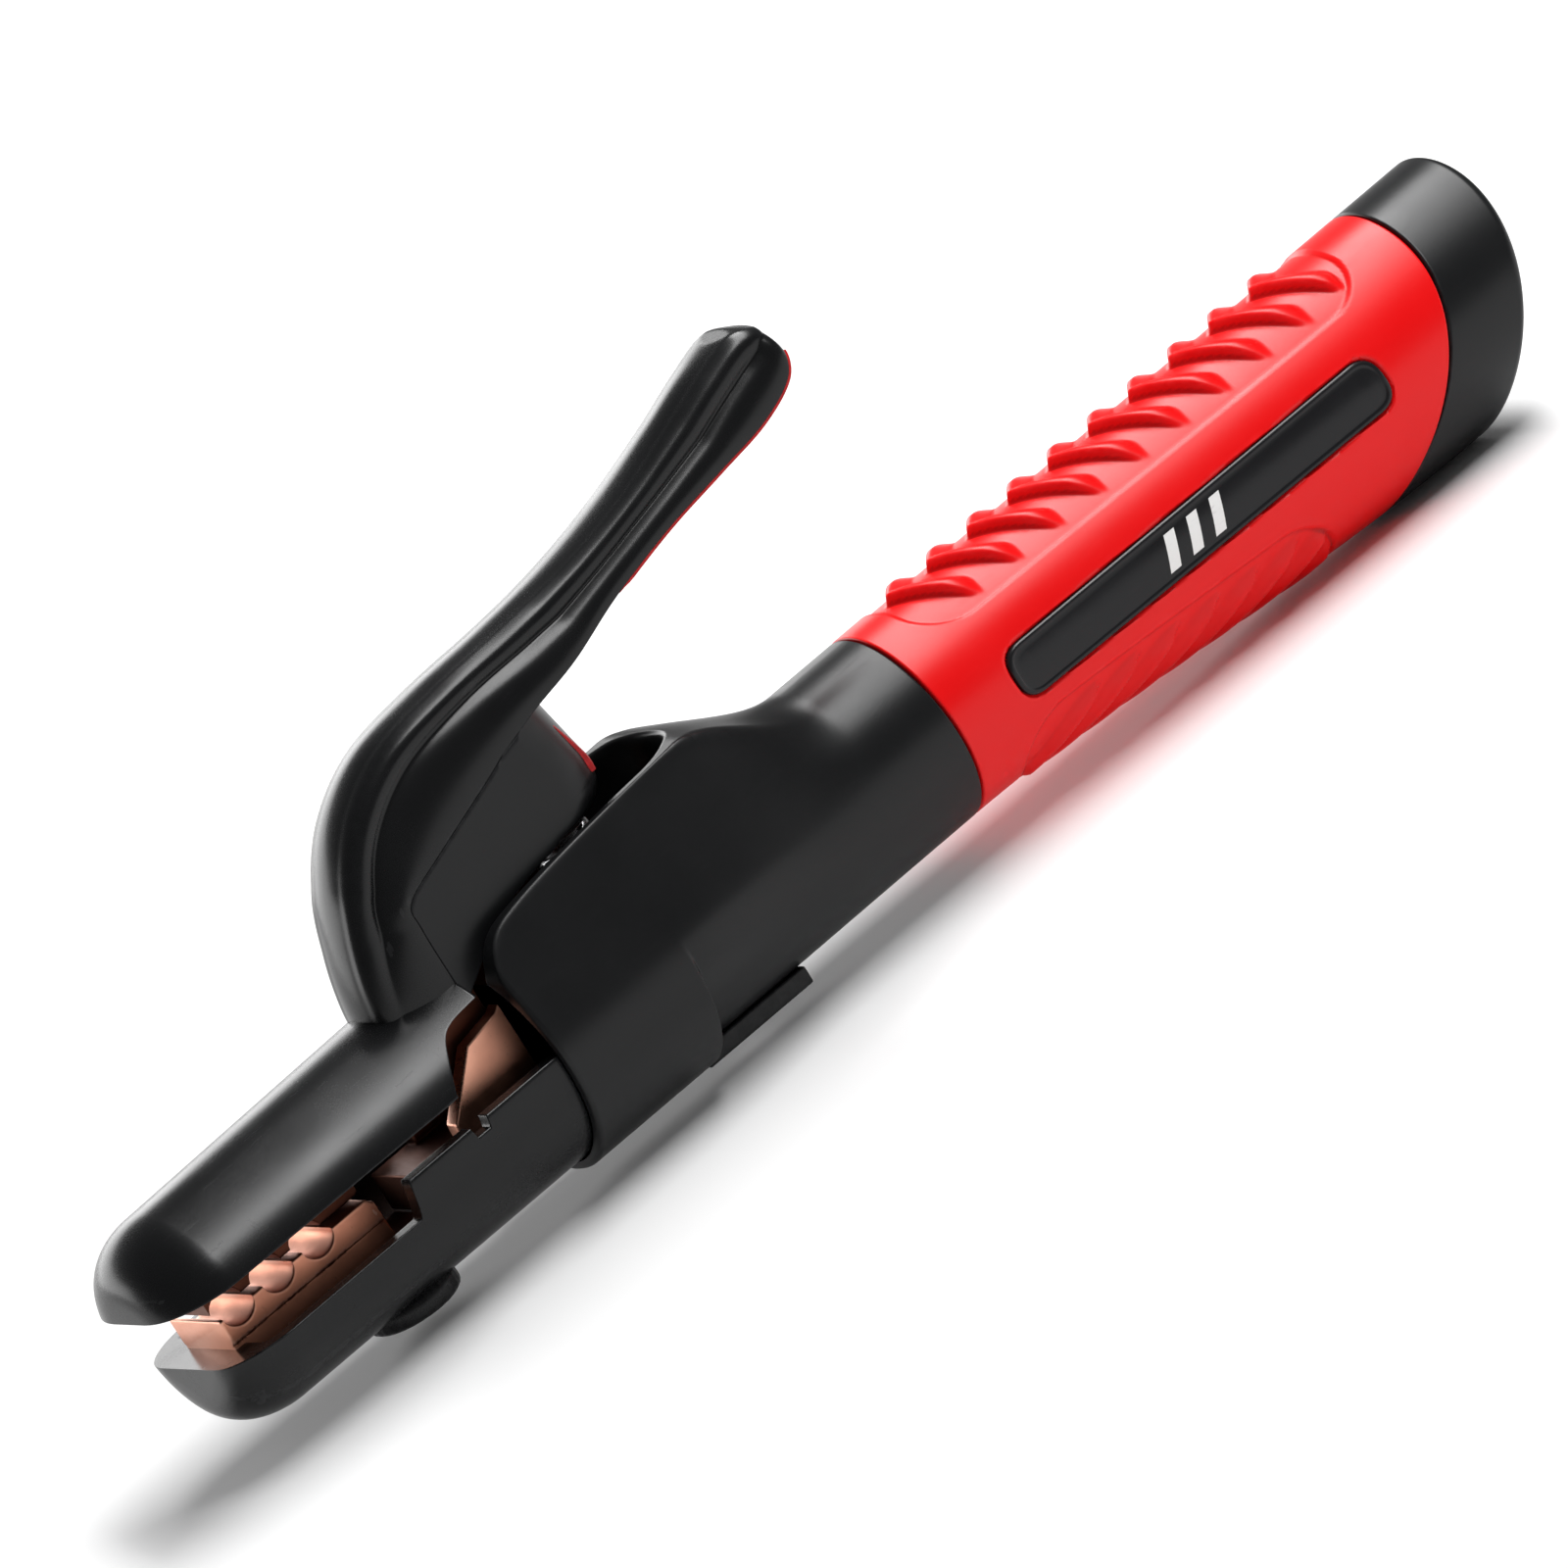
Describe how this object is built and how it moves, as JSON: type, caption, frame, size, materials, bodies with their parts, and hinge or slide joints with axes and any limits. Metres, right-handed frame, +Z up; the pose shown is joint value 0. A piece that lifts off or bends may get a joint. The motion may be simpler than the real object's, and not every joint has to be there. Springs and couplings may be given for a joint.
{
  "type": "electrode holder",
  "caption": "Hand-held stick-welding electrode holder: sprung copper tong jaws in black shells, a swinging thumb lever, a black front sleeve and a ribbed red grip.",
  "frame": {"origin": "centre of the object's box in X and Y, at its lowest point", "axes": "+X along the handle from the jaws towards the cable end, +Y sideways, +Z up towards the lever"},
  "size_m": [0.251, 0.0354, 0.0798],
  "materials": {
    "copper": "satin",
    "gloss_black": "gloss",
    "matte_black": "satin",
    "grip_red": "satin",
    "liner_red": "satin",
    "bright_steel": "polished",
    "brass": "satin",
    "nylon": "matte",
    "fibre_tube": "matte"
  },
  "bodies": {
    "handle_body": {"lower_jaw_contact": "copper", "conductor_arm": "copper", "lower_jaw_insulator": "gloss_black", "lower_jaw_button": "gloss_black", "lower_jaw_screw": "bright_steel", "front_sleeve": "matte_black", "sleeve_lock_plate": "matte_black", "sleeve_lock_screw": "bright_steel", "pivot_pin": "bright_steel", "pivot_washer_left": "nylon", "pivot_washer_right": "nylon", "spring_seat": "bright_steel", "return_spring": "bright_steel", "cable_socket": "brass", "cable_clamp_plate": "bright_steel", "cable_clamp_screw_front": "bright_steel", "cable_clamp_screw_rear": "bright_steel", "handle_tube": "fibre_tube", "grip_sleeve": "grip_red", "label_insert_left": "gloss_black", "label_insert_right": "gloss_black", "rear_cap": "matte_black", "handle_screw": "bright_steel"},
    "lever_body": {"upper_jaw_contact": "copper", "upper_arm": "copper", "upper_jaw_screw": "bright_steel", "upper_jaw_insulator": "gloss_black", "pivot_bush": "brass", "spring_post": "bright_steel", "lever_web": "matte_black", "lever_cover": "gloss_black", "lever_liner": "liner_red", "web_liner_left": "liner_red", "web_liner_right": "liner_red"}
  },
  "joints": [
    {"name": "lever_swing", "type": "hinge", "parent": "handle_body", "child": "lever_body", "pos_m": [-0.0505, 0, 0.0272], "axis": [0, 1, 0], "range_deg": [0, 22], "stiffness_Nm_per_rad": 2, "springref_deg": -34.38, "deforming": ["return_spring"]}
  ]
}
